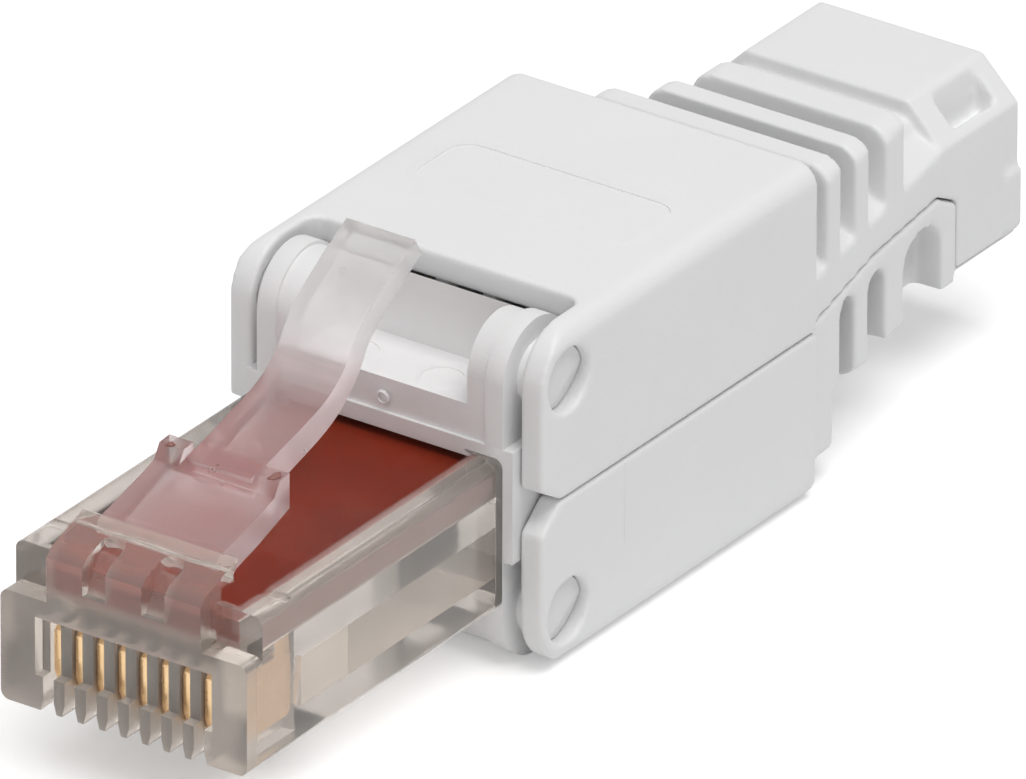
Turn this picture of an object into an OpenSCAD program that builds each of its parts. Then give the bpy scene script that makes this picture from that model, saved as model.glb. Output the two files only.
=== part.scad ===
// Tool-free network plug with eight contacts, in millimetres.
// X runs across the plug, Y from the nose back to the cable, Z up.
// The nose points to -Y and the part stands on the flat of its lower cover.

/* [Nose] */
// Width of the clear nose
nose_w = 11.68; // [11.5:0.01:11.8]
// Height of the clear nose behind its front step
nose_h = 6.5; // [6.3:0.05:6.7]
// Height of the low front step
tip_h = 4.8; // [4.5:0.1:5.2]
// Depth of the low front step
tip_step = 1.05; // [0.7:0.05:1.4]
// Length of the nose in front of the inner frame
nose_len = 17.2; // [16.5:0.1:18]
// Radius of the long edges of the nose
nose_edge_r = 0.4; // [0.1:0.05:0.6]
// Height of the nose above the surface that the plug stands on
nose_z = 2.8; // [2.4:0.1:3.2]
// Length of the tail that plugs into the inner frame
tail_len = 1.8; // [1:0.1:2.4]
// Clear wall between the nose sides and its tail
tail_inset = 0.8; // [0.6:0.1:1.2]
// Depth of the shallow panel in the top of the nose
panel_deep = 0.1; // [0.05:0.01:0.15]
// Distance from the side of the nose to the panel
panel_inset = 1.8; // [1.5:0.1:2]

/* [Contacts] */
// Distance from one contact to the next
pitch = 1.02; // [1:0.01:1.04]
// Thickness of a contact blade
blade_t = 0.36; // [0.3:0.02:0.4]
// Width of the slot round each blade
slot_w = 0.5; // [0.44:0.02:0.56]
// Height of the slots above the underside of the nose
slot_h = 4; // [3.7:0.1:4.2]
// Depth of the front face between the dividers' feet and the boss
front_recess = 0.5; // [0.3:0.05:0.55]
// Width of that recess in the front face
front_recess_w = 8.4; // [8.1:0.1:8.6]
// Height of the dividers' feet, which stand out to the front face
divider_foot = 1.5; // [1.2:0.1:1.8]
// Distance from the front of the nose to the blades
blade_y = 0.65; // [0.6:0.05:0.9]
// Length of a blade
blade_len = 3.6; // [3.2:0.1:4]
// Height of the blade's lower edge above the underside of the nose
blade_z = 0.75; // [0.6:0.05:0.9]
// Height of the blade's upper edge above the underside of the nose
blade_top = 3.6; // [3.2:0.1:3.7]
// Width of the blade's tail that rises to the board
blade_tail = 0.8; // [0.6:0.05:1]
// Radius of the blade's front corner
blade_nose_r = 0.8; // [0.5:0.05:1]
// Length of the comb that holds the blades apart
comb_len = 3.2; // [2.8:0.1:3.5]
// Depth of the comb's notches
comb_notch = 0.7; // [0.5:0.1:0.9]

/* [Board] */
// Width of the circuit board
board_w = 9.1; // [8.8:0.05:9.3]
// Thickness of the circuit board
board_t = 1.2; // [1:0.1:1.3]
// Clear plastic between the board and the top of the nose
board_cover = 0.65; // [0.5:0.05:0.8]
// Distance from the front of the nose to the board
board_y = 1.55; // [1.4:0.05:2]
// Length of the board
board_len = 29; // [27.5:0.5:30]
// Gap round the board in its slot
board_gap = 0.04; // [0.02:0.01:0.08]
// Height of the cavity under the board
well_h = 2.2; // [1.8:0.1:2.3]
// Thickness of the nose's floor
nose_floor = 1.1; // [0.9:0.05:1.3]

/* [Latch lever] */
// Width of the boss that carries the lever
boss_w = 7.3; // [7:0.1:7.5]
// Width of the lever between its shoulders
lever_w = 5.7; // [5.4:0.1:6]
// Width of the tongue where it leaves the shoulders
tongue_w = 3.1; // [2.9:0.1:3.3]
// Width of the tongue at its free end
tongue_end_w = 3.3; // [3:0.1:3.6]
// Thickness of the tongue at the shoulders
tongue_t = 1.4; // [1.2:0.05:1.5]
// Thickness of the tongue at its free end
tongue_end_t = 0.9; // [0.7:0.05:1.1]
// Length of the lever from its root to its free end
lever_len = 16; // [15:0.1:17]
// Rise of the lever from the top of the nose to its free end
lever_rise = 8.7; // [8:0.1:9.4]
// Length of the lever's wide part
wide_len = 4.15; // [3.9:0.05:4.4]
// Width of a shoulder beside the tongue
shoulder_w = 1.15; // [1:0.05:1.25]
// Height of the shoulders above the top of the nose
shoulder_h = 2.85; // [2.6:0.05:3]
// Height of the boss above the top of the nose
boss_h = 1.32; // [1.2:0.02:1.4]
// Radius of the lever's round root
root_r = 0.7; // [0.6:0.05:0.75]
// Running clearance round the root
root_gap = 0.05; // [0.03:0.01:0.08]
// Distance from the front of the nose to the root's axis
root_y = 2.95; // [2.8:0.05:3.1]
// Height of the root's axis over the top of the nose
root_rise = 0.65; // [0.6:0.05:0.7]
// Width of each groove in the top of the boss
boss_groove_w = 1.1; // [0.8:0.1:1.3]
// Distance of each groove from the middle of the boss
boss_groove_x = 1.4; // [1.2:0.1:1.6]
// Depth of the grooves below the top of the nose at the front face
boss_groove_deep = 0.95; // [0.7:0.05:1.1]

/* [Covers] */
// Width of the two covers
cover_w = 14.9; // [14.6:0.1:15.2]
// Height of the two covers together
cover_h = 14.6; // [14.4:0.1:14.9]
// Length of the box part of the covers
cover_len = 18.9; // [18.3:0.1:19.5]
// Distance from the nose's shoulder to the front of the covers
cover_set = 0.4; // [0.3:0.05:0.6]
// Radius of the long edges of the covers
cover_edge_r = 0.85; // [0.6:0.05:1.1]
// Radius of the front corners in side view
cover_front_r = 2.3; // [2:0.05:2.5]
// Thickness of the cover's side walls
cheek_t = 1.08; // [1:0.02:1.12]
// Thickness of the top and bottom walls
roof_t = 1.2; // [1:0.05:1.3]
// Thickness of the rear walls
rear_t = 1.2; // [1:0.05:1.5]
// Height of the chamfer at the front of the parting line
notch_h = 0.85; // [0.6:0.05:1]
// Height of the chamfer at the lower cover's front corner
low_notch_h = 1.15; // [0.8:0.05:1.3]
// Length of the chamfer at the front of the parting line
notch_len = 1.4; // [1:0.1:1.7]
// Gap between the two covers along the parting line
part_gap = 0.06; // [0.04:0.01:0.1]
// Length of the cut-out over the lever
cutout_len = 4.2; // [4.1:0.05:4.5]
// Width of the blank label outline on the upper cover
label_w = 10.4; // [8:0.2:10.8]
// Length of the blank label outline
label_len = 3.4; // [3:0.2:4]
// Distance of the label field behind the cut-out
label_back = 4.9; // [4.5:0.1:5.3]
// Depth of the label outline
label_groove = 0.05; // [0.04:0.01:0.1]

/* [Pivots] */
// Distance from the front of the covers to the pivots
pivot_y = 1.85; // [1.8:0.05:1.95]
// Distance from the outside of a cover's top or bottom to its pivot
pivot_in = 2.25; // [2.25:0.01:2.4]
// Radius of the pivot bosses on the inner frame
pivot_r = 1.31; // [1.2:0.01:1.35]
// Running clearance of a boss in its cover
pivot_gap = 0.06; // [0.03:0.01:0.09]
// Distance from a boss's end face to the outside of the cover
pivot_sunk = 0.4; // [0.1:0.05:0.5]
// Height of the ramp that is cut across a boss
ramp_t = 0.45; // [0.3:0.05:0.6]

/* [Inner frame] */
// Radius of the frame's rounded head about the pivots
head_r = 2.25; // [2.2:0.01:2.28]
// Gap between the frame's head and a cover's side wall
head_gap = 0.52; // [0.4:0.02:0.6]
// Gap between the frame's wide step and a cover's side wall
step_gap = 0.05; // [0.03:0.01:0.12]
// Height of the wide step
step_h = 4.9; // [4.5:0.1:5.2]
// Height of the seam between the frame halves above the parting line
seam_z = 0.25; // [0.15:0.05:0.3]
// Width of the recess behind the lever
recess_w = 8.1; // [7.8:0.1:8.4]
// Depth of the recess behind the lever
recess_len = 3.3; // [3:0.1:3.4]
// Height of the lip above the top of the nose
lip_h = 1.9; // [1.7:0.1:2]
// Width of each raised band at the ends of the head
band_w = 0.85; // [0.7:0.05:1]
// How far the outer bands stand proud of the head
band_step = 0.15; // [0.1:0.01:0.2]
// Length of the terminal deck behind the head
deck_len = 9.4; // [9:0.1:9.8]
// Gap between the terminal deck and a cover's side wall
deck_gap = 0.77; // [0.6:0.01:0.9]
// Height of each deck face above or below the parting line
deck_z = 3.4; // [3.2:0.1:3.6]
// Radius of the wire troughs in the decks
trough_r = 0.55; // [0.45:0.05:0.6]

/* [Terminals] */
// Distance between neighbouring wire troughs
wire_pitch = 2.3; // [2.2:0.05:2.4]
// Thickness of a forked terminal
fork_t = 0.4; // [0.3:0.05:0.5]
// Width of a forked terminal
fork_w = 1.5; // [1.3:0.1:1.6]
// Height of a fork's tips above the deck
fork_rise = 0.9; // [0.7:0.1:1]
// Width of the wire slot in a fork
fork_slot = 0.36; // [0.3:0.02:0.4]
// Depth of a fork's slot as a share of the fork's height
fork_share = 0.65; // [0.5:0.05:0.8]
// Gap between a fork and its slot
fork_gap = 0.05; // [0.03:0.01:0.08]
// Distance from one row of terminals to the other
row_gap = 3; // [2.6:0.1:3.4]

/* [Strain relief] */
// Length from the box part to the collar
relief_len = 11.4; // [11:0.1:11.8]
// Width at its front
relief_w = 14.2; // [13.8:0.1:14.4]
// Width of the hollow core between the ribs
core_w = 8.6; // [8.2:0.1:9]
// Height of the core above the parting line
core_top = 3.7; // [3.6:0.05:3.9]
// Height of the core below the parting line
core_low = 3.55; // [3.5:0.05:3.6]
// Radius of the cable way through the strain relief and the collar
entry_r = 3.1; // [3:0.05:3.2]
// Corner radius of the ribs
rib_corner_r = 1.1; // [0.8:0.1:1.4]

/* [Collar] */
// Width of the octagonal collar
collar_w = 11.2; // [11:0.1:11.6]
// Length of the collar
collar_len = 5.4; // [5:0.1:5.8]
// Height of the collar above the parting line
collar_top = 4.4; // [4.2:0.1:4.6]
// Height of the collar below the parting line
collar_low = 3.6; // [3.5:0.05:3.7]
// Chamfer of the collar's corners
collar_cut = 1.75; // [1.5:0.05:1.9]
// Length of the skirt that hangs over the lower half
skirt_len = 4.3; // [4:0.1:4.5]
// Drop of the skirt below the parting line
skirt_drop = 3; // [2.6:0.1:3.1]
// Wall of the skirt
skirt_t = 1.1; // [1:0.05:1.2]
// How far the grip pads at the end stand proud of the collar
pad_t = 0.2; // [0.1:0.05:0.3]
// Length of the grip pads
pad_len = 0.95; // [0.8:0.05:1.2]
// Width of the snap window in the chamfer
window_w = 1.7; // [1.4:0.05:1.9]
// Length of the snap window
window_len = 2.9; // [2.6:0.1:3.1]
// Depth of the window's lower edge
window_deep = 0.85; // [0.6:0.05:1]

/* [Hidden] */
$fn = 64;
cut = 1;
mid_z = cover_h / 2;
cover_y = nose_len + cover_set;
cover_end = cover_y + cover_len;
relief_end = cover_end + relief_len;
total_len = relief_end + collar_len;
axle_y = cover_y + pivot_y;
head_front = axle_y - head_r;
nose_top = nose_z + nose_h;
board_z = nose_top - board_cover - board_t;
board_half = board_w / 2 + board_gap;
deck_y = axle_y + head_r - 0.3;
deck_end = deck_y + deck_len;
cheek_x = cover_w / 2 - cheek_t;
cutout_y = cover_y + cutout_len;
cutout_corner = 0.7;
pivot_z = mid_z - pivot_in;
head_x = cheek_x - head_gap;
band_x = head_x - band_w;
step_x = cheek_x - step_gap;
deck_x = cheek_x - deck_gap;
root_z = nose_top + root_rise;
seam = mid_z + seam_z;
skirt_y = total_len - skirt_len;
contact_count = 8;
wires_per_side = 4;
row_y = deck_y + deck_len / 2;

// Ribs of the strain relief, front to back: start, end, top below the covers' top, foot below the
// parting line, and the distance from the middle to the shorter left end of the top.
ribs = [[1.5, 2.65, 0.95, 4.1, 4.9], [4.0, 5.1, 1.25, 4.15, 3.6], [6.6, 8.1, 1.55, 3.65, 3.2]];
// The plate that closes the lower half behind the box part: length and height below the parting line.
plate = [2.1, 6.1];
// Slots of the lower half: start and end behind the box part.
low_slots = [[2.65, 4.0], [5.1, 6.6], [8.1, relief_len]];
slot_side_in = 3.2;
slot_side_out = 1.9;

// A block between two corners.
module block(low, high) translate(low) cube(high - low);

// A flat outline with Y and Z coordinates, given a thickness along X.
module side_slab(x0, x1) translate([x0, 0, 0]) rotate([90, 0, 90]) linear_extrude(x1 - x0) children();

// A flat outline with X and Z coordinates, given a thickness along Y.
module cross_slab(y0, y1) translate([0, y1, 0]) rotate([90, 0, 0]) linear_extrude(y1 - y0) children();

// A rounded rectangle between two corners.
module rounded(low, high, r) {
    translate([low.x + r, low.y]) square([high.x - low.x - 2 * r, high.y - low.y]);
    translate([low.x, low.y + r]) square([high.x - low.x, high.y - low.y - 2 * r]);
    for (x = [low.x + r, high.x - r], y = [low.y + r, high.y - r]) translate([x, y]) circle(r);
}

module on_stand() translate([0, -total_len / 2, 0]) children();

function contact_x(i) = (i - (contact_count + 1) / 2) * pitch;
function wire_x(i) = ((i - 1) % wires_per_side - (wires_per_side - 1) / 2) * wire_pitch;
function wire_up(i) = i <= wires_per_side;
function wire_y(i) = row_y + (i % 2 == 0 ? row_gap / 2 : -row_gap / 2);

// A point of a smooth curve through the middle points of a list.
function curve(p, t) = 0.5 * (2 * p[1] + (p[2] - p[0]) * t
    + (2 * p[0] - 5 * p[1] + 4 * p[2] - p[3]) * t * t
    + (3 * p[1] - p[0] - 3 * p[2] + p[3]) * t * t * t);
function smooth(pts, steps) = [
    for (i = [1:len(pts) - 3], s = [0:steps - 1])
        curve([pts[i - 1], pts[i], pts[i + 1], pts[i + 2]], s / steps),
    pts[len(pts) - 2]
];

// Nose

module nose_outer() {
    cross_slab(0, nose_len) rounded([-nose_w / 2, nose_z], [nose_w / 2, nose_z + tip_h], nose_edge_r);
    cross_slab(tip_step, nose_len) rounded([-nose_w / 2, nose_z], [nose_w / 2, nose_top], nose_edge_r);
    intersection() {
        side_slab(-boss_w / 2, boss_w / 2) polygon([
            [0, nose_z + slot_h], [0, nose_top + 0.2 * boss_h], [0.35, nose_top + 0.45 * boss_h],
            [root_y - 0.5, nose_top + boss_h], [root_y - 0.1, nose_top + 0.9 * boss_h],
            [root_y, nose_top - root_r], [root_y, nose_z + slot_h]
        ]);
        cross_slab(-cut, nose_len)
            rounded([-boss_w / 2, nose_z], [boss_w / 2, nose_top + boss_h + cut], nose_edge_r);
    }
    block([tail_inset - nose_w / 2, nose_len - cut, nose_z + nose_floor / 2],
        [nose_w / 2 - tail_inset, nose_len + tail_len, nose_top - board_cover / 2]);
}

// The space that the lever's round root turns in.
module root_seat() translate([-nose_w, root_y, root_z]) rotate([0, 90, 0])
    cylinder(r = root_r + root_gap, h = 2 * nose_w);

// Two grooves with round ends whose floors slope down to the front face.
module boss_groove() {
    back = root_y / 2 - boss_groove_w / 4;
    for (side = [-1, 1]) intersection() {
        translate([side * boss_groove_x, 0, 0]) union() {
            block([-boss_groove_w / 2, -cut, nose_z + slot_h],
                [boss_groove_w / 2, back, nose_top + 2 * boss_h]);
            translate([0, back, nose_z + slot_h]) cylinder(d = boss_groove_w, h = nose_h);
        }
        side_slab(-boss_w, boss_w) polygon([
            [-cut, nose_top - boss_groove_deep], [0.3, nose_top - boss_groove_deep],
            [back, nose_top + 0.35 * boss_h], [root_y, nose_top + 0.6 * boss_h],
            [root_y, nose_top + 2 * boss_h], [-cut, nose_top + 2 * boss_h]
        ]);
    }
}

// A slot for one blade; it widens towards the underside.
module contact_slot(i) {
    half = slot_w / 2;
    cross_slab(-cut, blade_y + blade_len + 0.1) polygon([
        [contact_x(i) - 1.5 * half, nose_z - cut], [contact_x(i) + 1.5 * half, nose_z - cut],
        [contact_x(i) + 1.5 * half, nose_z], [contact_x(i) + half, nose_z + slot_w],
        [contact_x(i) + half, nose_z + slot_h], [contact_x(i) - half, nose_z + slot_h],
        [contact_x(i) - half, nose_z + slot_w], [contact_x(i) - 1.5 * half, nose_z]
    ]);
}

module plug_nose() color([0.82, 0.82, 0.84, 0.5]) on_stand() difference() {
    nose_outer();
    root_seat();
    boss_groove();
    for (i = [1:contact_count]) contact_slot(i);
    // The front face steps back above the dividers' feet
    block([-front_recess_w / 2, -cut, nose_z + divider_foot],
        [front_recess_w / 2, front_recess, nose_z + slot_h]);
    // Slot for the board
    block([-board_half, board_y - board_gap, board_z - board_gap],
        [board_half, nose_len + tail_len + cut, board_z + board_t + board_gap]);
    // Blade tails rise through the web to the board
    block([contact_x(1) - slot_w / 2, blade_y + blade_len - blade_tail - 0.4, nose_z + slot_h - cut],
        [contact_x(contact_count) + slot_w / 2, blade_y + blade_len + 0.1, board_z]);
    // Well under the board
    block([-board_half, blade_y + blade_len + 0.1, nose_z + nose_floor],
        [board_half, nose_len + tail_len + cut, nose_z + nose_floor + well_h]);
    // Shallow panel in the top, behind the boss
    block([panel_inset - nose_w / 2, root_y, nose_top - panel_deep],
        [nose_w / 2 - panel_inset, nose_len + cut, nose_top + cut]);
}

// Latch lever

module lever_wide() {
    back = root_y + wide_len;
    under = nose_top + 0.47 * shoulder_h;
    polygon([
        [root_y, root_z - root_r], [root_y + 0.12 * wide_len, root_z - 0.66 * root_r],
        [root_y + 0.5 * wide_len, nose_top + 0.22 * shoulder_h], [back, under],
        [back, nose_top + shoulder_h], [back - 0.16 * wide_len, nose_top + 0.98 * shoulder_h],
        [back - 0.25 * wide_len, nose_top + 0.77 * shoulder_h],
        [back - 0.44 * wide_len, nose_top + 0.68 * shoulder_h],
        [root_y, root_z + root_r]
    ]);
}

// Middle line of the tongue as shares of the lever's length and rise: an S bend from the shoulders
// to the free end.
tongue_line = [for (p = smooth([
    [0.1, 0.18], [0.22, 0.213], [0.37, 0.28], [0.53, 0.37], [0.622, 0.49], [0.685, 0.65], [0.79, 0.79],
    [0.91, 0.915], [1, 1]
], 6)) [root_y + p.x * lever_len, nose_top + p.y * lever_rise]];
tongue_steps = len(tongue_line) - 1;
function tongue_dir(k) = tongue_line[min(k + 1, tongue_steps)] - tongue_line[max(k - 1, 0)];
function tongue_half(k) = (tongue_t + (tongue_end_t - tongue_t) * k / tongue_steps) / 2;
function tongue_edge(k, side) = tongue_line[k]
    + side * tongue_half(k) / norm(tongue_dir(k)) * [-tongue_dir(k).y, tongue_dir(k).x];
module tongue_outline() polygon(concat(
    [for (k = [0:tongue_steps]) tongue_edge(k, 1)],
    [for (k = [tongue_steps:-1:0]) tongue_edge(k, -1)]
));

module latch_lever() color([0.86, 0.8, 0.8, 0.6]) on_stand() {
    half = lever_w / 2;
    back = root_y + wide_len;
    // The tongue starts inside the wide part
    start = root_y + 0.6 * wide_len;
    reach = root_y + lever_len;
    difference() {
        union() {
            translate([-half, root_y, root_z]) rotate([0, 90, 0]) cylinder(r = root_r, h = lever_w);
            side_slab(-half, half) lever_wide();
        }
        // The step between the shoulders slopes down to the wide part
        side_slab(shoulder_w - half, half - shoulder_w) polygon([
            [back - 0.47 * wide_len, nose_top + 0.69 * shoulder_h],
            [back + 0.05, nose_top + 0.9 * shoulder_h],
            [back + 0.05, nose_top + 2 * shoulder_h],
            [back - 0.47 * wide_len, nose_top + 2 * shoulder_h]
        ]);
    }
    intersection() {
        side_slab(-tongue_end_w, tongue_end_w) tongue_outline();
        translate([0, 0, nose_top]) linear_extrude(2 * lever_rise) polygon([
            [-tongue_w / 2, start], [tongue_w / 2, start],
            [tongue_end_w / 2, reach + cut], [-tongue_end_w / 2, reach + cut]
        ]);
    }
}

// Board, blades and comb

module circuit_board() color([0.62, 0.16, 0.1]) on_stand() difference() {
    block([-board_w / 2, board_y, board_z], [board_w / 2, board_y + board_len, board_z + board_t]);
    for (i = [1:2 * wires_per_side]) translate([wire_x(i), wire_y(i), board_z - cut])
        cylinder(r = 0.3, h = board_t + 2 * cut);
}

module contact(i) color([0.89, 0.7, 0.4]) on_stand() {
    low = nose_z + blade_z;
    top = nose_z + blade_top;
    back = blade_y + blade_len;
    side_slab(contact_x(i) - blade_t / 2, contact_x(i) + blade_t / 2) polygon([
        [blade_y, low + blade_nose_r], [blade_y, top - 0.3], [blade_y + 0.3, top],
        [back - 0.2 - blade_tail, top], [back - 0.2 - blade_tail, board_z], [back - 0.2, board_z],
        [back, top - 0.6], [back, low + 0.2], [back - 0.2, low], [blade_y + blade_nose_r, low],
        [blade_y + 0.3 * blade_nose_r, low + 0.3 * blade_nose_r]
    ]);
}

module contact_comb() color([0.93, 0.93, 0.92]) on_stand() {
    front = blade_y + blade_len + 0.15;
    low = nose_z + nose_floor;
    top = low + well_h - board_gap;
    difference() {
        block([board_gap - board_half, front, low], [board_half - board_gap, front + comb_len, top]);
        for (i = [1:contact_count]) block([contact_x(i) - blade_t / 2, front - cut, top - comb_notch],
            [contact_x(i) + blade_t / 2, front + comb_len + cut, top + cut]);
    }
}

// Inner frame

module head_outline(r) {
    for (z = [mid_z - pivot_z, mid_z + pivot_z]) translate([axle_y, z]) circle(r);
    translate([axle_y - r, mid_z - pivot_z]) square([2 * r, 2 * pivot_z]);
}

module frame_body() difference() {
    union() {
        side_slab(-band_x, band_x) head_outline(head_r - band_step);
        side_slab(-head_x, -band_x) head_outline(head_r);
        side_slab(band_x, head_x) head_outline(head_r);
        block([-step_x, head_front, mid_z - step_h / 2], [step_x, deck_y + 1, mid_z + step_h / 2]);
        block([-deck_x, axle_y, mid_z - deck_z], [deck_x, deck_end, mid_z + deck_z]);
        for (side = [-1, 1]) pivot_bosses(side);
    }
    // Socket for the nose's tail
    block([tail_inset - nose_w / 2 - board_gap, head_front - cut, nose_z + nose_floor / 2 - board_gap],
        [nose_w / 2 - tail_inset + board_gap, nose_len + tail_len + board_gap,
            nose_top - board_cover / 2 + board_gap]);
    // Slot for the board
    block([-board_half, head_front, board_z - board_gap],
        [board_half, board_y + board_len + board_gap, board_z + board_t + board_gap]);
    // Recess behind the lever
    block([-recess_w / 2, head_front - cut, nose_top + lip_h],
        [recess_w / 2, head_front + recess_len, cover_h + cut]);
    // Wire troughs and terminal slots
    for (i = [1:2 * wires_per_side]) {
        z = wire_up(i) ? mid_z + deck_z : mid_z - deck_z;
        translate([wire_x(i), deck_y + 1, z]) rotate([-90, 0, 0]) cylinder(r = trough_r, h = deck_len);
        block([wire_x(i) - fork_w / 2 - fork_gap, wire_y(i) - fork_t / 2 - fork_gap,
                wire_up(i) ? board_z : -cut],
            [wire_x(i) + fork_w / 2 + fork_gap, wire_y(i) + fork_t / 2 + fork_gap,
                wire_up(i) ? cover_h : board_z + board_t]);
    }
}

// Two bosses on one side, each with a ramp that lets the cover snap over it.
module pivot_bosses(side) {
    reach = cover_w / 2 - pivot_sunk;
    for (up = [-1, 1]) difference() {
        translate([0, axle_y, mid_z + up * pivot_z]) rotate([0, side * 90, 0])
            cylinder(r = pivot_r, h = reach);
        translate([side * reach, axle_y, mid_z + up * pivot_z]) rotate([30, 0, 0])
            cross_slab(-2 * pivot_r, 2 * pivot_r) polygon([
                [0, -0.35 * pivot_r], [side * cut, -0.35 * pivot_r], [side * cut, -2 * pivot_r],
                [-side * 1.65 * ramp_t, -2 * pivot_r]
            ]);
    }
}

module frame_top() color([0.88, 0.88, 0.88]) on_stand() intersection() {
    frame_body();
    block([-cover_w, 0, seam], [cover_w, total_len, 2 * cover_h]);
}

module frame_bottom() color([0.86, 0.86, 0.86]) on_stand() intersection() {
    frame_body();
    block([-cover_w, 0, -cover_h], [cover_w, total_len, seam]);
}

// A forked terminal that stands on the board, its tips outwards.
module idc_terminal(i) color([0.85, 0.76, 0.55]) on_stand() {
    foot = wire_up(i) ? board_z + board_t : board_z;
    tip = mid_z + (wire_up(i) ? 1 : -1) * (deck_z + fork_rise);
    side = wire_up(i) ? 1 : -1;
    slot_foot = tip + fork_share * (foot - tip);
    difference() {
        block([wire_x(i) - fork_w / 2, wire_y(i) - fork_t / 2, min(foot, tip)],
            [wire_x(i) + fork_w / 2, wire_y(i) + fork_t / 2, max(foot, tip)]);
        block([wire_x(i) - fork_slot / 2, wire_y(i) - fork_t, min(slot_foot, tip + side)],
            [wire_x(i) + fork_slot / 2, wire_y(i) + fork_t, max(slot_foot, tip + side)]);
        cross_slab(wire_y(i) - fork_t, wire_y(i) + fork_t) polygon([
            [wire_x(i), tip - side * 0.7],
            [wire_x(i) - 0.6, tip + side * 0.2],
            [wire_x(i) + 0.6, tip + side * 0.2]
        ]);
    }
}

// Covers

// The box part of both covers with its rounded edges and front corners.
module box_outer() intersection() {
    cross_slab(cover_y, cover_end) rounded([-cover_w / 2, 0], [cover_w / 2, cover_h], cover_edge_r);
    side_slab(-cover_w, cover_w) union() {
        rounded([cover_y, 0], [cover_end, cover_h], cover_front_r);
        translate([cover_end - 2 * cover_front_r, 0]) square([2 * cover_front_r, cover_h]);
    }
}

// Cross-sections of the strain relief, in millimetres above and below the parting line.
module rib_section(up, down, x, left) {
    rounded([-x, mid_z - down], [x, mid_z + slot_side_in], rib_corner_r);
    rounded([-left, mid_z - down], [x, mid_z + up], rib_corner_r);
}

module core_section() rounded([-core_w / 2, mid_z - core_low], [core_w / 2, mid_z + core_top], 0.6);

// The rails join the ribs at the sides; their tops slope down to the outside.
module rail_section(down) polygon([
    [-relief_w, mid_z - down], [relief_w, mid_z - down],
    [relief_w, mid_z + slot_side_out - 1.6], [relief_w / 2, mid_z + slot_side_out],
    [core_w / 2, mid_z + slot_side_in], [-core_w / 2, mid_z + slot_side_in],
    [-relief_w / 2, mid_z + slot_side_out], [-relief_w, mid_z + slot_side_out - 1.6]
]);

function relief_x(y) = relief_w / 2 + (collar_w - relief_w) / 2 * y / relief_len;

module relief_outer() intersection() {
    union() {
        cross_slab(cover_end - cut, relief_end + cut) core_section();
        cross_slab(cover_end - cut, cover_end + plate[0]) rail_section(plate[1]);
        cross_slab(cover_end - cut, relief_end + cut) rail_section(core_low);
        for (r = ribs) {
            cross_slab(cover_end + r[0], cover_end + r[1])
                rib_section(mid_z - r[2], r[3], relief_x(r[0]) + 0.1, r[4]);
        }
    }
    linear_extrude(2 * cover_h) polygon([
        [-relief_w / 2, cover_end - cut], [relief_w / 2, cover_end - cut], [relief_w / 2, cover_end],
        [collar_w / 2, relief_end], [collar_w / 2, relief_end + cut], [-collar_w / 2, relief_end + cut],
        [-collar_w / 2, relief_end], [-relief_w / 2, cover_end]
    ]);
}

module collar_section() polygon([
    [-collar_w / 2, mid_z - collar_low + 0.6], [-collar_w / 2 + 0.6, mid_z - collar_low],
    [collar_w / 2 - 0.6, mid_z - collar_low], [collar_w / 2, mid_z - collar_low + 0.6],
    [collar_w / 2, mid_z + collar_top - collar_cut], [collar_w / 2 - collar_cut, mid_z + collar_top],
    [collar_cut - collar_w / 2, mid_z + collar_top], [-collar_w / 2, mid_z + collar_top - collar_cut]
]);

// Slots that are cut into the lower half from below, with round tops beside the core.
module low_slot(y0, y1) {
    r = min(1.4, (y1 - y0) / 2);
    z = mid_z - 0.15;
    for (side = [-1, 1]) side_slab(side > 0 ? core_w / 2 : -relief_w, side > 0 ? relief_w : -core_w / 2) {
        translate([cover_end + y0, -cut]) square([y1 - y0, z - r + cut]);
        translate([cover_end + y0 + r, z - r]) circle(r);
        translate([cover_end + y1 - r, z - r]) circle(r);
        translate([cover_end + y0 + r, z - r]) square([max(0.01, y1 - y0 - 2 * r), r]);
    }
}

// Everything hollow inside the closed covers.
module inside() {
    block([-cheek_x, cover_y - cut, roof_t], [cheek_x, cover_end - rear_t, cover_h - roof_t]);
    // Cut-outs over the lever and under the frame's head
    linear_extrude(2 * cover_h + cut, center = true)
        rounded([-cheek_x, cover_y - 3 * cut], [cheek_x, cutout_y], cutout_corner);
    // Cable way through the ribs and the collar
    translate([0, cover_end - rear_t - cut, mid_z]) rotate([-90, 0, 0]) cylinder(r = entry_r, h = total_len);
}

module pivot_holes() for (up = [-1, 1])
    translate([-cover_w, axle_y, mid_z + up * pivot_z]) rotate([0, 90, 0])
        cylinder(r = pivot_r + pivot_gap, h = 2 * cover_w);

// Windows in the collar's chamfers. Their floors slope more steeply than the chamfer, so they start
// flush at its upper edge and are deepest beside the collar's side.
module snap_windows() for (side = [-1, 1]) {
    x = side * (collar_w / 2 - collar_cut);
    top = mid_z + collar_top;
    start = 0.12 * collar_cut;
    end = start + window_w * sqrt(0.5);
    cross_slab(relief_end + 1.4, relief_end + 1.4 + window_len) polygon([
        [x + side * start, top - start], [x + side * (end - window_deep), top - end - window_deep],
        [x + side * (end + 1), top - end + 1], [x + side * (start + 1), top - start + 1]
    ]);
}

module covers() difference() {
    union() {
        box_outer();
        relief_outer();
        cross_slab(relief_end, total_len) collar_section();
        block([-collar_w / 2 - pad_t, total_len - pad_len, mid_z - skirt_drop + 0.2],
            [collar_w / 2 + pad_t, total_len, mid_z - 0.2]);
    }
    inside();
    pivot_holes();
    snap_windows();
    for (s = low_slots) low_slot(s[0], s[1]);
}

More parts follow.
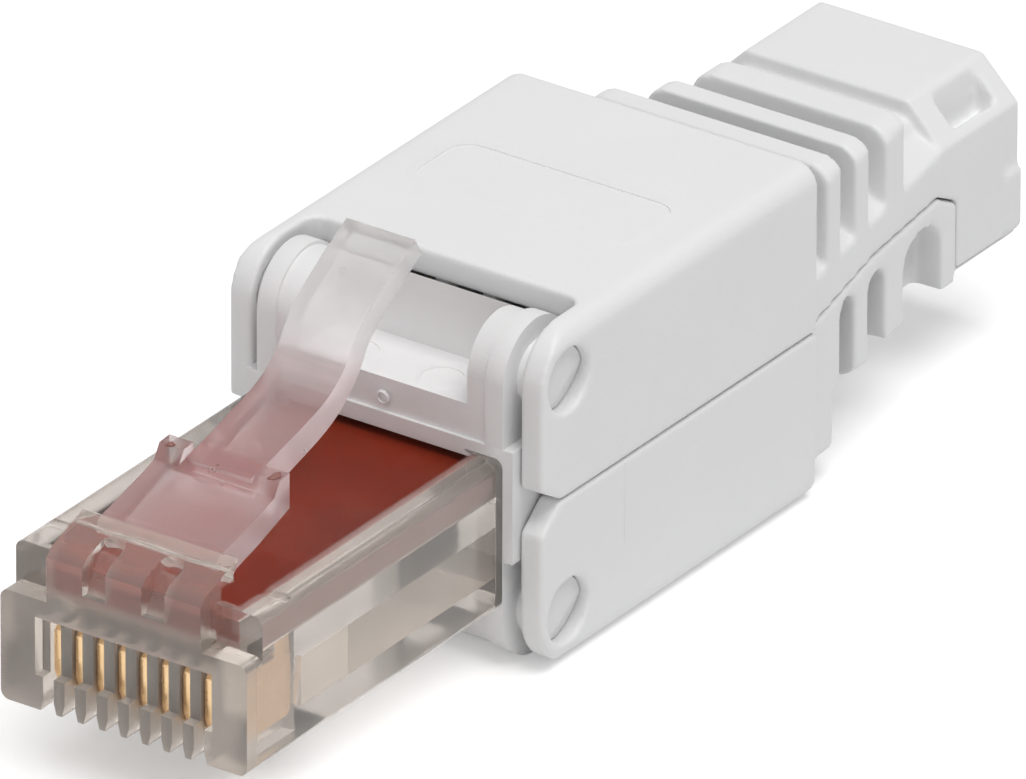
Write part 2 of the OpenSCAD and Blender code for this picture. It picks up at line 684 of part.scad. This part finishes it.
// The upper cover's share of the space. A drop makes it larger, which opens the gap for the lower cover.
module upper_space(drop) {
    rise = cover_end + 0.48 * relief_len;
    fall = skirt_y - 1.4;
    side_slab(-cover_w, cover_w) polygon([
        [0, 3 * cover_h], [0, mid_z + notch_h + notch_h * cover_y / notch_len - drop],
        [cover_y - cut, mid_z + notch_h * (1 + cut / notch_len) - drop], [cover_y + notch_len, mid_z - drop],
        [cover_end, mid_z - drop], [rise, mid_z + 0.7 - drop], [fall, mid_z + 0.7 - drop],
        [skirt_y - drop, mid_z - drop], [total_len + cut, mid_z - drop], [total_len + cut, 3 * cover_h]
    ]);
    for (side = [-1, 1]) {
        inner = side * (collar_w / 2 - skirt_t - drop);
        block([min(inner, side * cover_w), skirt_y - drop, mid_z - skirt_drop - drop],
            [max(inner, side * cover_w), total_len + cut, mid_z + cut]);
    }
}

// The lower cover's front corner is chamfered like the upper cover's.
module front_notch() side_slab(-cover_w, cover_w) polygon([
    [cover_y - cut, mid_z - low_notch_h * (1 + cut / notch_len)], [cover_y - cut, mid_z + cut],
    [cover_y + notch_len, mid_z + cut], [cover_y + notch_len, mid_z]
]);

module label_outline() {
    y = cutout_y + label_back;
    translate([0, 0, cover_h - label_groove]) linear_extrude(cut) difference() {
        rounded([-label_w / 2, y], [label_w / 2, y + label_len], 0.6);
        rounded([-label_w / 2 + 0.12, y + 0.12], [label_w / 2 - 0.12, y + label_len - 0.12], 0.48);
    }
}

// Ribs inside a cover that press the wires into the forks.
module pressers(up) {
    reach = fork_rise + 0.25;
    z = mid_z + up * (deck_z + reach);
    wall = up > 0 ? cover_h - roof_t + 0.1 : roof_t - 0.1;
    for (i = [1:wires_per_side], y = [row_y - row_gap / 2 - 1.2, row_y, row_y + row_gap / 2 + 1.2])
        block([wire_x(i) - 0.35, y - 0.4, min(z, wall)], [wire_x(i) + 0.35, y + 0.4, max(z, wall)]);
}

module upper_cover() color([0.92, 0.92, 0.92]) on_stand() {
    difference() {
        intersection() {
            covers();
            upper_space(0);
        }
        label_outline();
    }
    pressers(1);
}

module lower_cover() color([0.9, 0.9, 0.9]) on_stand() {
    difference() {
        covers();
        upper_space(part_gap);
        front_notch();
    }
    pressers(-1);
}

plug_nose();
latch_lever();
circuit_board();
contact_comb();
contact(1);  // contact_1
contact(2);  // contact_2
contact(3);  // contact_3
contact(4);  // contact_4
contact(5);  // contact_5
contact(6);  // contact_6
contact(7);  // contact_7
contact(8);  // contact_8
frame_top();
frame_bottom();
idc_terminal(1);  // idc_terminal_1
idc_terminal(2);  // idc_terminal_2
idc_terminal(3);  // idc_terminal_3
idc_terminal(4);  // idc_terminal_4
idc_terminal(5);  // idc_terminal_5
idc_terminal(6);  // idc_terminal_6
idc_terminal(7);  // idc_terminal_7
idc_terminal(8);  // idc_terminal_8
upper_cover();
lower_cover();
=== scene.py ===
# %% [markdown]
# # A tool-free network plug with a clear nose
#
# The solids come from the CAD model: a clear moulded nose with eight gold contacts, a red circuit
# board, a long latch lever, a white inner frame and two white covers that hinge on it. This script
# gives those solids their finish. It rounds the edges as a mould does, makes the plastics, the
# lacquer and the gold, adds the small marks that moulding leaves, and sets the light and the camera.

# %% Load the solids
import math

import bmesh
import bpy
from mathutils import Matrix, Vector


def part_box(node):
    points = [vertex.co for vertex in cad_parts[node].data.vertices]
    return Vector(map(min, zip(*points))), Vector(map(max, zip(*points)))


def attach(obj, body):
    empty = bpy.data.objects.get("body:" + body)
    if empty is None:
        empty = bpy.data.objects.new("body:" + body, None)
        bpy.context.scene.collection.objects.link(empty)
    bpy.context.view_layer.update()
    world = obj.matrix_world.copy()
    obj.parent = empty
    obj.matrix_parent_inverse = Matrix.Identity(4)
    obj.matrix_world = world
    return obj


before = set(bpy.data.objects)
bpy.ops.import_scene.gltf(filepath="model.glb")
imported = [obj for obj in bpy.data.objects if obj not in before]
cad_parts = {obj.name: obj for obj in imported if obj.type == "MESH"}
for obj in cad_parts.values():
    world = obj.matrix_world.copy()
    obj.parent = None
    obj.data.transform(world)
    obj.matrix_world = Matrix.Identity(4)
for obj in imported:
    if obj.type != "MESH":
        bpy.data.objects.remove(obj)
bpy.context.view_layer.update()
MM = 0.001
print("solids loaded:", len(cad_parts))

# %% [markdown]
# ## Camera
#
# The photograph is a catalogue picture: a long lens looks down on the plug from its front right, so
# parallel edges stay almost parallel. The direction was fitted to the long edges of the nose and the
# covers. A long lens from 1.34 m away keeps that flat perspective.

# %% Camera
PHOTO_W, PHOTO_H = 1026, 779
AZIMUTH, ELEVATION, ROLL = math.radians(34.807), math.radians(27.329), math.radians(-0.157)
DISTANCE = 1.34
PIXELS_PER_MM = 25.539
SENSOR = 36.0
LOOK_AT = Vector((-0.041, -0.293, 6.795)) * MM

level = math.cos(ELEVATION)
towards = Vector((math.sin(AZIMUTH) * level, -math.cos(AZIMUTH) * level, math.sin(ELEVATION)))
right = Vector((math.cos(AZIMUTH), math.sin(AZIMUTH), 0))
above = towards.cross(right)
turn = Matrix((right, above, towards)).transposed() @ Matrix.Rotation(-ROLL, 3, "Z")
lens = bpy.data.cameras.new("catalogue_camera")
lens.sensor_width = SENSOR
lens.lens = PIXELS_PER_MM / MM * DISTANCE * SENSOR / PHOTO_W
lens.clip_start, lens.clip_end = 0.01, 20
camera = bpy.data.objects.new("catalogue_camera", lens)
camera.matrix_world = Matrix.Translation(LOOK_AT + towards * DISTANCE) @ turn.to_4x4()
bpy.context.collection.objects.link(camera)
bpy.context.scene.camera = camera
print("lens in mm:", round(lens.lens))

# %% [markdown]
# ## Shader helpers
#
# Every finish here starts from one Principled shader. A few short helpers place nodes and join them,
# so that each material below reads as a list of what is special about that plastic or metal.

# %% Shader helpers
def new_material(name):
    material = bpy.data.materials.new(name)
    material.use_nodes = True
    return material, material.node_tree, material.node_tree.nodes["Principled BSDF"]


def add_group(tree, group, **values):
    node = tree.nodes.new("ShaderNodeGroup")
    node.node_tree = group
    for name, value in values.items():
        node.inputs[name].default_value = value
    return node


def mix_colours(tree, factor, first, second):
    node = tree.nodes.new("ShaderNodeMix")
    node.data_type = "RGBA"
    tree.links.new(factor, node.inputs["Factor"])
    node.inputs["A"].default_value = (*first, 1)
    node.inputs["B"].default_value = (*second, 1)
    return node.outputs["Result"]


def spread(tree, factor, low, high):
    """Maps a mask of 0 to 1 onto a range, for roughness."""
    node = tree.nodes.new("ShaderNodeMapRange")
    tree.links.new(factor, node.inputs["Value"])
    node.inputs["To Min"].default_value = low
    node.inputs["To Max"].default_value = high
    return node.outputs["Result"]


def bump(tree, shader, height, depth_mm):
    node = tree.nodes.new("ShaderNodeBump")
    node.inputs["Distance"].default_value = depth_mm * MM
    node.inputs["Strength"].default_value = 1
    tree.links.new(height, node.inputs["Height"])
    tree.links.new(node.outputs["Normal"], shader.inputs["Normal"])


def let_lamps_through(tree, shader, share):
    """Clear plastic casts a light shadow: rays from lamps pass it, thinned by share."""
    path = tree.nodes.new("ShaderNodeLightPath")
    clear = tree.nodes.new("ShaderNodeBsdfTransparent")
    clear.inputs["Color"].default_value = (share, share, share, 1)
    mixer = tree.nodes.new("ShaderNodeMixShader")
    output = tree.nodes["Material Output"]
    tree.links.new(path.outputs["Is Shadow Ray"], mixer.inputs["Fac"])
    tree.links.new(shader.outputs["BSDF"], mixer.inputs[1])
    tree.links.new(clear.outputs["BSDF"], mixer.inputs[2])
    tree.links.new(mixer.outputs["Shader"], output.inputs["Surface"])


# %% [markdown]
# ## Mould grain, a shared effect
#
# Injection moulded plastic copies its steel mould: a fine even grain, and a slow unevenness where the
# plastic shrank while it cooled. Both come from noise in the object's own coordinates, so that they
# move with the piece. Several plastics and the lacquer use the same group with their own sizes.

# %% Mould grain group
def make_grain_group():
    group = bpy.data.node_groups.new("mould_grain", "ShaderNodeTree")
    grain_size = group.interface.new_socket("Grain Size mm", in_out="INPUT", socket_type="NodeSocketFloat")
    grain_size.default_value = 0.1
    patch_size = group.interface.new_socket("Patch Size mm", in_out="INPUT", socket_type="NodeSocketFloat")
    patch_size.default_value = 4
    group.interface.new_socket("Grain", in_out="OUTPUT", socket_type="NodeSocketFloat")
    group.interface.new_socket("Patches", in_out="OUTPUT", socket_type="NodeSocketFloat")
    nodes, links = group.nodes, group.links
    entry, leave = nodes.new("NodeGroupInput"), nodes.new("NodeGroupOutput")
    place = nodes.new("ShaderNodeTexCoord")
    for size, detail, out in (("Grain Size mm", 3, "Grain"), ("Patch Size mm", 2, "Patches")):
        scale = nodes.new("ShaderNodeMath")
        scale.operation = "DIVIDE"
        scale.inputs[0].default_value = 1 / MM
        links.new(entry.outputs[size], scale.inputs[1])
        noise = nodes.new("ShaderNodeTexNoise")
        noise.inputs["Detail"].default_value = detail
        links.new(place.outputs["Object"], noise.inputs["Vector"])
        links.new(scale.outputs["Value"], noise.inputs["Scale"])
        links.new(noise.outputs["Fac"], leave.inputs[out])
    return group


mould_grain = make_grain_group()
print("group:", mould_grain.name)

# %% [markdown]
# ## A place on the piece, a shared mask
#
# Some finishes belong to one place only: the polished window over the board, a gate mark, the round
# mark of an ejector pin. A mask that is 1 inside a box and fades to 0 around it names such a place in
# the piece's own coordinates. It needs no unwrapping, and it stays put when the piece moves.

# %% Place group
def make_place_group():
    group = bpy.data.node_groups.new("box_place", "ShaderNodeTree")
    for name, kind in (("Low mm", "Vector"), ("High mm", "Vector"), ("Soft mm", "Float")):
        group.interface.new_socket(name, in_out="INPUT", socket_type="NodeSocket" + kind)
    group.interface.new_socket("Mask", in_out="OUTPUT", socket_type="NodeSocketFloat")
    nodes, links = group.nodes, group.links
    entry, leave = nodes.new("NodeGroupInput"), nodes.new("NodeGroupOutput")
    place = nodes.new("ShaderNodeTexCoord")
    in_mm = nodes.new("ShaderNodeVectorMath")
    in_mm.operation = "SCALE"
    in_mm.inputs["Scale"].default_value = 1 / MM
    links.new(place.outputs["Object"], in_mm.inputs[0])
    inside = nodes.new("ShaderNodeVectorMath")
    inside.operation = "MINIMUM"
    gaps = ((in_mm.outputs[0], entry.outputs["Low mm"]), (entry.outputs["High mm"], in_mm.outputs[0]))
    for slot, (first, second) in enumerate(gaps):
        gap = nodes.new("ShaderNodeVectorMath")
        gap.operation = "SUBTRACT"
        links.new(first, gap.inputs[0])
        links.new(second, gap.inputs[1])
        links.new(gap.outputs[0], inside.inputs[slot])
    axes = nodes.new("ShaderNodeSeparateXYZ")
    links.new(inside.outputs[0], axes.inputs[0])
    least = axes.outputs["X"]
    for axis in ("Y", "Z"):
        smaller = nodes.new("ShaderNodeMath")
        smaller.operation = "MINIMUM"
        links.new(least, smaller.inputs[0])
        links.new(axes.outputs[axis], smaller.inputs[1])
        least = smaller.outputs["Value"]
    fade = nodes.new("ShaderNodeMapRange")
    fade.interpolation_type = "SMOOTHSTEP"
    links.new(least, fade.inputs["Value"])
    fade.inputs["From Min"].default_value = 0
    links.new(entry.outputs["Soft mm"], fade.inputs["From Max"])
    links.new(fade.outputs["Result"], leave.inputs["Mask"])
    return group


box_place = make_place_group()
print("group:", box_place.name)


def place_mask(tree, low, high, soft):
    """The mask of one box; low and high are corners in mm."""
    node = tree.nodes.new("ShaderNodeGroup")
    node.node_tree = box_place
    node.inputs["Low mm"].default_value = low
    node.inputs["High mm"].default_value = high
    node.inputs["Soft mm"].default_value = soft
    return node.outputs["Mask"]


def node_box_mm(name):
    low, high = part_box(name)
    return [v / MM for v in low], [v / MM for v in high]

# %% [markdown]
# ## White housing plastic
#
# The covers and the inner frame are the same satin white plastic. In the photograph the large faces
# show a fine grain and a very soft highlight. A middle roughness with a small bump gives that, and a
# faint change of tone keeps the big faces from looking like paper.

# %% White plastic
def make_white_plastic(name, tone, dusk):
    material, tree, shader = new_material(name)
    grain = add_group(tree, mould_grain, **{"Grain Size mm": 0.09, "Patch Size mm": 5})
    colour = mix_colours(tree, grain.outputs["Patches"], dusk, tone)
    tree.links.new(colour, shader.inputs["Base Color"])
    tree.links.new(spread(tree, grain.outputs["Grain"], 0.42, 0.58), shader.inputs["Roughness"])
    bump(tree, shader, grain.outputs["Grain"], 0.012)
    return material


white_cover = make_white_plastic("white_cover_plastic", (0.80, 0.80, 0.80), (0.77, 0.77, 0.775))
white_frame = make_white_plastic("white_frame_plastic", (0.78, 0.775, 0.775), (0.75, 0.745, 0.745))
print("white plastics:", white_cover.name, white_frame.name)

# %% [markdown]
# ## Clear nose
#
# The nose is clear plastic that scatters a little. The photograph shows the red board sharply through
# a polished window in the top, the gold and the comb bent by refraction through the glossy sides, and
# a dull, greyish front. One shader does all of it: most of it is glass, a share is plain milky plastic,
# a place mask makes only the front rough, and over the window the alpha opens it, so the board shows
# through without milk. Light from lamps may pass, as it passes real clear plastic, so the board and
# the contacts inside are not left in the dark.

# %% Nose plastic
board_low, board_high = node_box_mm("circuit_board")
nose_low, nose_high = node_box_mm("plug_nose")


def make_nose_plastic():
    material, tree, shader = new_material("clear_nose_plastic")
    shader.inputs["Transmission Weight"].default_value = 0.84
    shader.inputs["IOR"].default_value = 1.48
    grain = add_group(tree, mould_grain, **{"Grain Size mm": 0.2, "Patch Size mm": 1.4})
    milk = mix_colours(tree, grain.outputs["Patches"], (0.76, 0.69, 0.63), (0.88, 0.82, 0.76))
    tree.links.new(milk, shader.inputs["Base Color"])
    window = place_mask(tree, (board_low[0] - 0.1, board_low[1] - 0.3, board_high[2] - 1),
                        (board_high[0] + 0.1, board_high[1], board_high[2] + 1.3), 0.25)
    polish = place_mask(tree, (nose_low[0] - 1, nose_low[1] + 0.5, nose_low[2] - 1),
                        (nose_high[0] + 1, nose_high[1] + 1, nose_high[2] + 1), 0.5)
    tree.links.new(spread(tree, polish, 0.34, 0.09), shader.inputs["Roughness"])
    tree.links.new(spread(tree, window, 1.0, 0.02), shader.inputs["Alpha"])
    bump(tree, shader, grain.outputs["Grain"], 0.001)
    let_lamps_through(tree, shader, 0.85)
    return material


clear_nose = make_nose_plastic()
print("window over the board:", [round(v, 2) for v in board_low], [round(v, 2) for v in board_high])

# %% [markdown]
# ## Frosted lever
#
# The lever is the same resin with a frosted skin. Its flat faces let the red board shine through,
# while its thick side edges and the step between its shoulders turn white. So the alpha is half open
# on the flats, and a mask closes it on faces that look sideways and at the step. Near the root the colour is
# painted red, a painted glow of the board's red light in the resin, and it is pale towards the free end.

# %% Lever plastic
LEVER_ROOT_Y = -23.7
STEP_BACK = LEVER_ROOT_Y + 4.15


def make_lever_plastic():
    material, tree, shader = new_material("frosted_lever_plastic")
    shader.inputs["Transmission Weight"].default_value = 0.86
    shader.inputs["IOR"].default_value = 1.3
    grain = add_group(tree, mould_grain, **{"Grain Size mm": 0.15, "Patch Size mm": 1.5})
    # painted light: near the root a box mask mixes the colour towards red, the board's red glow painted into
    # the resin
    painted_board_red = tree.nodes.new("ShaderNodeMix")
    painted_board_red.data_type = "RGBA"
    tree.links.new(place_mask(tree, (-4, -26, 8), (4, -9, 15), 3), painted_board_red.inputs["Factor"])
    for socket, dull, clear in (("A", (0.86, 0.83, 0.83), (0.94, 0.91, 0.91)),
                                ("B", (0.84, 0.62, 0.62), (0.92, 0.72, 0.72))):
        tree.links.new(mix_colours(tree, grain.outputs["Patches"], dull, clear), painted_board_red.inputs[socket])
    tree.links.new(painted_board_red.outputs["Result"], shader.inputs["Base Color"])
    tree.links.new(spread(tree, grain.outputs["Patches"], 0.24, 0.36), shader.inputs["Roughness"])
    bump(tree, shader, grain.outputs["Grain"], 0.0006)
    facing = tree.nodes.new("ShaderNodeNewGeometry")
    axes = tree.nodes.new("ShaderNodeSeparateXYZ")
    tree.links.new(facing.outputs["Normal"], axes.inputs[0])
    sideways = tree.nodes.new("ShaderNodeMath")
    sideways.operation = "ABSOLUTE"
    tree.links.new(axes.outputs["X"], sideways.inputs[0])
    step = place_mask(tree, (-2.2, STEP_BACK - 1.5, 10.2), (2.2, STEP_BACK + 0.6, 12.8), 0.6)
    milky = tree.nodes.new("ShaderNodeMath")
    milky.operation = "MAXIMUM"
    tree.links.new(sideways.outputs["Value"], milky.inputs[0])
    tree.links.new(step, milky.inputs[1])
    tree.links.new(spread(tree, milky.outputs["Value"], 0.56, 0.95), shader.inputs["Alpha"])
    let_lamps_through(tree, shader, 0.75)
    return material


frosted_lever = make_lever_plastic()
print("lever:", frosted_lever.name)

# %% [markdown]
# ## Board lacquer
#
# A circuit board is glass cloth under coloured lacquer. The red is uneven: darker in slow patches and
# slightly mottled by the cloth below. Its gloss is moderate.

# %% Board lacquer
def make_board_lacquer():
    material, tree, shader = new_material("red_board_lacquer")
    grain = add_group(tree, mould_grain, **{"Grain Size mm": 0.3, "Patch Size mm": 3})
    colour = mix_colours(tree, grain.outputs["Patches"], (0.13, 0.012, 0.003), (0.245, 0.024, 0.007))
    tree.links.new(colour, shader.inputs["Base Color"])
    shader.inputs["Specular IOR Level"].default_value = 0.05
    tree.links.new(spread(tree, grain.outputs["Grain"], 0.3, 0.5), shader.inputs["Roughness"])
    bump(tree, shader, grain.outputs["Grain"], 0.004)
    return material


red_board = make_board_lacquer()
print("lacquer:", red_board.name)

# %% [markdown]
# ## Metals
#
# The contacts are gold plated and punched from sheet, so their gloss is broken by fine scratches. The
# forked terminals inside are a paler plated alloy. Both are plain metal with a varied roughness.

# %% Metals
def make_plating(name, bright, worn):
    material, tree, shader = new_material(name)
    shader.inputs["Metallic"].default_value = 1
    grain = add_group(tree, mould_grain, **{"Grain Size mm": 0.12, "Patch Size mm": 0.9})
    colour = mix_colours(tree, grain.outputs["Patches"], worn, bright)
    tree.links.new(colour, shader.inputs["Base Color"])
    tree.links.new(spread(tree, grain.outputs["Grain"], 0.2, 0.42), shader.inputs["Roughness"])
    bump(tree, shader, grain.outputs["Grain"], 0.004)
    return material


gold_plating = make_plating("gold_plating", (0.93, 0.68, 0.40), (0.74, 0.49, 0.26))
tin_plating = make_plating("tin_plating", (0.86, 0.80, 0.66), (0.66, 0.58, 0.42))
comb_white = make_white_plastic("comb_plastic", (0.88, 0.88, 0.87), (0.84, 0.84, 0.83))
print("plating:", gold_plating.name, tin_plating.name)

# %% [markdown]
# ## Soft edges on the solids
#
# No moulded edge is sharp, and the thin bright line along each edge is what makes plastic look like
# plastic. The solids arrive with split corners, so a weld joins them first. A bevel then rounds only
# true edges, chosen by angle, and weighted normals keep the large faces flat.

# %% Dress the solids
def set_material(node, material):
    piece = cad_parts[node]
    for slot in piece.material_slots:
        slot.material = material
    weld = piece.modifiers.new("join_corners", "WELD")
    weld.merge_threshold = 0.002 * MM
    return piece


def dress(node, material, edge_mm, least_angle=32):
    piece = set_material(node, material)
    bevel = piece.modifiers.new("moulded_edge", "BEVEL")
    bevel.width = edge_mm * MM
    bevel.segments = 3
    bevel.limit_method = "ANGLE"
    bevel.angle_limit = math.radians(least_angle)
    bevel.miter_outer = "MITER_ARC"
    normals = piece.modifiers.new("flat_faces", "WEIGHTED_NORMAL")
    normals.weight = 80
    return piece


dress("frame_top", white_frame, 0.12)
dress("frame_bottom", white_frame, 0.12)
dress("plug_nose", clear_nose, 0.07)
dress("latch_lever", frosted_lever, 0.12)
dress("circuit_board", red_board, 0.04)
dress("contact_comb", comb_white, 0.05)
for number in range(1, 9):
    dress(f"contact_{number}", gold_plating, 0.05)
    dress(f"idc_terminal_{number}", tin_plating, 0.05)
print("dressed: the frame, the nose with its board and contacts, and the lever")

# %% [markdown]
# ## Rounder edges on the covers
#
# The covers' edges are much rounder, most of all on the ribs, where a bevel would meet itself in the
# narrow slots. So these two solids are wrapped in a fine even net instead, and the net is relaxed a
# little: flat faces stay where they are, and every edge and inner corner turns round by itself. A last
# step thins the net where it is flat.

# %% Dress the covers
def dress_soft(node, material, net_mm, rounds, keep):
    piece = set_material(node, material)
    net = piece.modifiers.new("even_net", "REMESH")
    net.mode = "VOXEL"
    net.voxel_size = net_mm * MM
    net.use_smooth_shade = True
    relax = piece.modifiers.new("relax_edges", "SMOOTH")
    relax.factor = 0.5
    relax.iterations = rounds
    thin = piece.modifiers.new("thin_flats", "DECIMATE")
    thin.ratio = keep
    return piece


for node in ("upper_cover", "lower_cover"):
    dress_soft(node, white_cover, 0.14, 5, 0.3)
print("covers dressed")

# %% [markdown]
# ## Marks that moulding leaves
#
# A moulded part carries small marks: the sunk print of an ejector pin in the recess behind the lever,
# the dimple where the frame's mould was filled, a faint line where two halves of the mould met, and
# the shallow border of the blank label field on top. A sunk print is seen by its rim. So each print
# is a rim that is steep inside and runs out slowly outside, swept along the print's edge. The mould
# line is a thin thread. One helper sweeps both, and each mark rides on its own body. The lever's
# shoulders keep two torn stubs, where the nose's mould was filled: low uneven domes.

# %% A small piece from a sheet of faces
def make_piece(sheet, name, material, body):
    """Turns the sheet into a smooth mesh that rides on the body."""
    mesh = bpy.data.meshes.new(name)
    sheet.to_mesh(mesh)
    sheet.free()
    mesh.shade_smooth()
    mesh.materials.append(material)
    piece = bpy.data.objects.new(name, mesh)
    bpy.context.collection.objects.link(piece)
    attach(piece, body)
    return piece


# %% Sweep a profile along a path
def sweep(name, path_mm, profile_mm, normal, closed, body, material):
    """Sweeps a ring of (outward, upward) points along the path; upward is the face's normal."""
    up = Vector(normal)
    path = [Vector(point) for point in path_mm]
    count = len(path)
    sheet = bmesh.new()
    rings = []
    for k, here in enumerate(path):
        ahead = path[(k + 1) % count] if closed else path[min(k + 1, count - 1)]
        behind = path[k - 1] if closed else path[max(k - 1, 0)]
        outward = (ahead - behind).cross(up).normalized()
        size = 1.0 if closed or 0 < k < count - 1 else 0.2
        rings.append([sheet.verts.new((here + size * (out * outward + rise * up)) * MM)
                      for out, rise in profile_mm])
    for k in range(count if closed else count - 1):
        first, second = rings[k], rings[(k + 1) % count]
        for n in range(len(profile_mm)):
            m = (n + 1) % len(profile_mm)
            sheet.faces.new((first[n], first[m], second[m], second[n]))
    if not closed:
        sheet.faces.new(reversed(rings[0]))
        sheet.faces.new(rings[-1])
    bmesh.ops.recalc_face_normals(sheet, faces=sheet.faces)
    piece = make_piece(sheet, name, material, body)
    piece.data.set_sharp_from_angle(angle=math.radians(50))
    return piece


def rim(height, fade):
    """The raised edge of a sunk print: a steep inner wall and a long outer slope."""
    return [(0, -0.03), (0.012, height), (0.06, height),
            (0.5 * fade, 0.3 * height), (fade, -0.004), (fade, -0.03)]


def ring(centre, radius, first, second, steps=28):
    """Points of a circle in the plane of two unit vectors."""
    turns = [2 * math.pi * k / steps for k in range(steps)]
    return [Vector(centre) + radius * (math.cos(turn) * Vector(first) + math.sin(turn) * Vector(second))
            for turn in turns]


# %% Prints and mould line
RIGHT, BACK, UP, FRONT = (1, 0, 0), (0, 1, 0), (0, 0, 1), (0, -1, 0)
for side, name in ((-1, "ejector_print_left"), (1, "ejector_print_right")):
    print_edge = ring((side * 2.02, -8.06, 11.2), 0.85, RIGHT, BACK)
    sweep(name, print_edge, rim(0.035, 0.25), UP, True, "root", white_frame)
dimple_edge = ring((0.15, -9.45, 10.38), 0.2, RIGHT, UP)
sweep("gate_dimple", dimple_edge, rim(0.05, 0.12), FRONT, True, "root", white_frame)
thread = [(0.03 * math.cos(math.pi * n / 4), 0.03 * math.sin(math.pi * n / 4)) for n in range(8)]
line = [(7.45, -3.39, z) for z in (7.1, 6.6, 5.6, 4.6, 3.9, 3.5)]
sweep("mould_line", line, thread, RIGHT, False, "cover_lower", white_cover)
print("prints on the frame, line on the lower cover")

# %% Torn gate stubs on the lever's shoulders
gate_red, tree, shader = new_material("gate_stub")
stub_grain = add_group(tree, mould_grain, **{"Grain Size mm": 0.08, "Patch Size mm": 0.3})
stub_tone = mix_colours(tree, stub_grain.outputs["Grain"], (0.10, 0.03, 0.02), (0.36, 0.15, 0.12))
tree.links.new(stub_tone, shader.inputs["Base Color"])
tree.links.new(spread(tree, stub_grain.outputs["Grain"], 0.3, 0.6), shader.inputs["Roughness"])


def gate_stub(name, centre, wide, deep, high, steps=14):
    """A low torn dome: three uneven rings and a top point, half sunk in the shoulder."""
    sheet = bmesh.new()
    rings = []
    for share, rise in ((1.0, -0.1), (0.95, 0.35), (0.55, 0.9)):
        row = []
        for k in range(steps):
            turn = 2 * math.pi * k / steps
            torn = 1 + 0.16 * math.sin(3 * turn + wide * 9) + 0.09 * math.sin(5 * turn)
            offset = (share * torn * wide * math.cos(turn), share * torn * deep * math.sin(turn), rise * high)
            row.append(sheet.verts.new((Vector(centre) + Vector(offset)) * MM))
        rings.append(row)
    peak = sheet.verts.new((Vector(centre) + Vector((0.1 * wide, 0, high))) * MM)
    for k in range(steps):
        m = (k + 1) % steps
        for low, top in zip(rings, rings[1:]):
            sheet.faces.new((low[k], low[m], top[m], top[k]))
        sheet.faces.new((rings[-1][k], rings[-1][m], peak))
    sheet.faces.new(reversed(rings[0]))
    make_piece(sheet, name, gate_red, "latch")


SHOULDER_TOP = 12.15
gate_stub("gate_stub_left", (-2.3, -20.25, SHOULDER_TOP), 0.17, 0.2, 0.1)
gate_stub("gate_stub_right", (2.55, -20.1, SHOULDER_TOP), 0.2, 0.36, 0.1)
print("gate stubs on the shoulders")

# %% Label border
label_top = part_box("upper_cover")[1][2] / MM
border = []
for x, y, start in ((4.2, 2.6, 0), (-4.2, 2.6, 90), (-4.2, 0.8, 180), (4.2, 0.8, 270)):
    for k in range(7):
        turn = math.radians(start + 15 * k)
        border.append((x + math.cos(turn), y + math.sin(turn), label_top))
sweep("label_border", border, rim(0.04, 0.5), UP, True, "cover_upper", white_cover)

# %% [markdown]
# ## Floor and light
#
# The picture has a white background. The floor is plain white, and for the camera alone it glows just
# enough to reach white where nothing shades it, so the soft shadow under the plug stays. A large
# lamp above and to the right, and a weak one in front, shade the three visible sides like the photograph: the top brightest,
# the right side a little darker, the front darkest.

# %% Floor
def camera_like_rays(tree):
    """1 for rays that see the background straight, in a reflection or through glass."""
    path = tree.nodes.new("ShaderNodeLightPath")
    total = path.outputs["Is Camera Ray"]
    for name in ("Is Glossy Ray", "Is Transmission Ray"):
        larger = tree.nodes.new("ShaderNodeMath")
        larger.operation = "MAXIMUM"
        tree.links.new(total, larger.inputs[0])
        tree.links.new(path.outputs[name], larger.inputs[1])
        total = larger.outputs["Value"]
    return total


mesh = bpy.data.meshes.new("studio_floor")
sheet = bmesh.new()
bmesh.ops.create_grid(sheet, x_segments=2, y_segments=2, size=3)
sheet.to_mesh(mesh)
sheet.free()
floor = bpy.data.objects.new("studio_floor", mesh)
bpy.context.collection.objects.link(floor)
floor_white, tree, shader = new_material("studio_white")
shader.inputs["Base Color"].default_value = (0.86, 0.86, 0.86, 1)
shader.inputs["Roughness"].default_value = 0.9
shader.inputs["Specular IOR Level"].default_value = 0
shader.inputs["Emission Color"].default_value = (1, 1, 1, 1)
glow = tree.nodes.new("ShaderNodeMath")
glow.operation = "MULTIPLY"
glow.inputs[1].default_value = 0.3
tree.links.new(camera_like_rays(tree), glow.inputs[0])
tree.links.new(glow.outputs["Value"], shader.inputs["Emission Strength"])
mesh.materials.append(floor_white)
floor.location.z = -0.02 * MM  # just under the plug, so the two faces don't share a plane
print("floor:", floor.name)

# %% Light
world = bpy.data.worlds.new("studio_world")
bpy.context.scene.world = world
world.use_nodes = True
tree = world.node_tree
sky = tree.nodes["Background"]
level = tree.nodes.new("ShaderNodeMapRange")
level.inputs["To Min"].default_value = 0.36
level.inputs["To Max"].default_value = 1.0
tree.links.new(camera_like_rays(tree), level.inputs["Value"])
sky.inputs["Color"].default_value = (1, 1, 1, 1)
tree.links.new(level.outputs["Result"], sky.inputs["Strength"])


def add_softbox(name, direction, distance, size, watts):
    lamp = bpy.data.lights.new(name, "AREA")
    lamp.shape = "SQUARE"
    lamp.size = size
    lamp.energy = watts
    box = bpy.data.objects.new(name, lamp)
    place = Vector(direction).normalized() * distance
    box.location = place
    box.rotation_euler = place.to_track_quat("Z", "Y").to_euler()
    bpy.context.collection.objects.link(box)
    return box


# the key makes the top the brightest side, the fill lifts the front
key_lamp = add_softbox("key_softbox", (0.27, -0.03, 0.96), 0.7, 0.45, 3.25)
fill_lamp = add_softbox("front_fill", (0.15, -0.93, 0.33), 0.8, 0.6, 0.75)
print("lamps:", key_lamp.name, fill_lamp.name)

bpy.context.scene.view_settings.view_transform = "Standard"
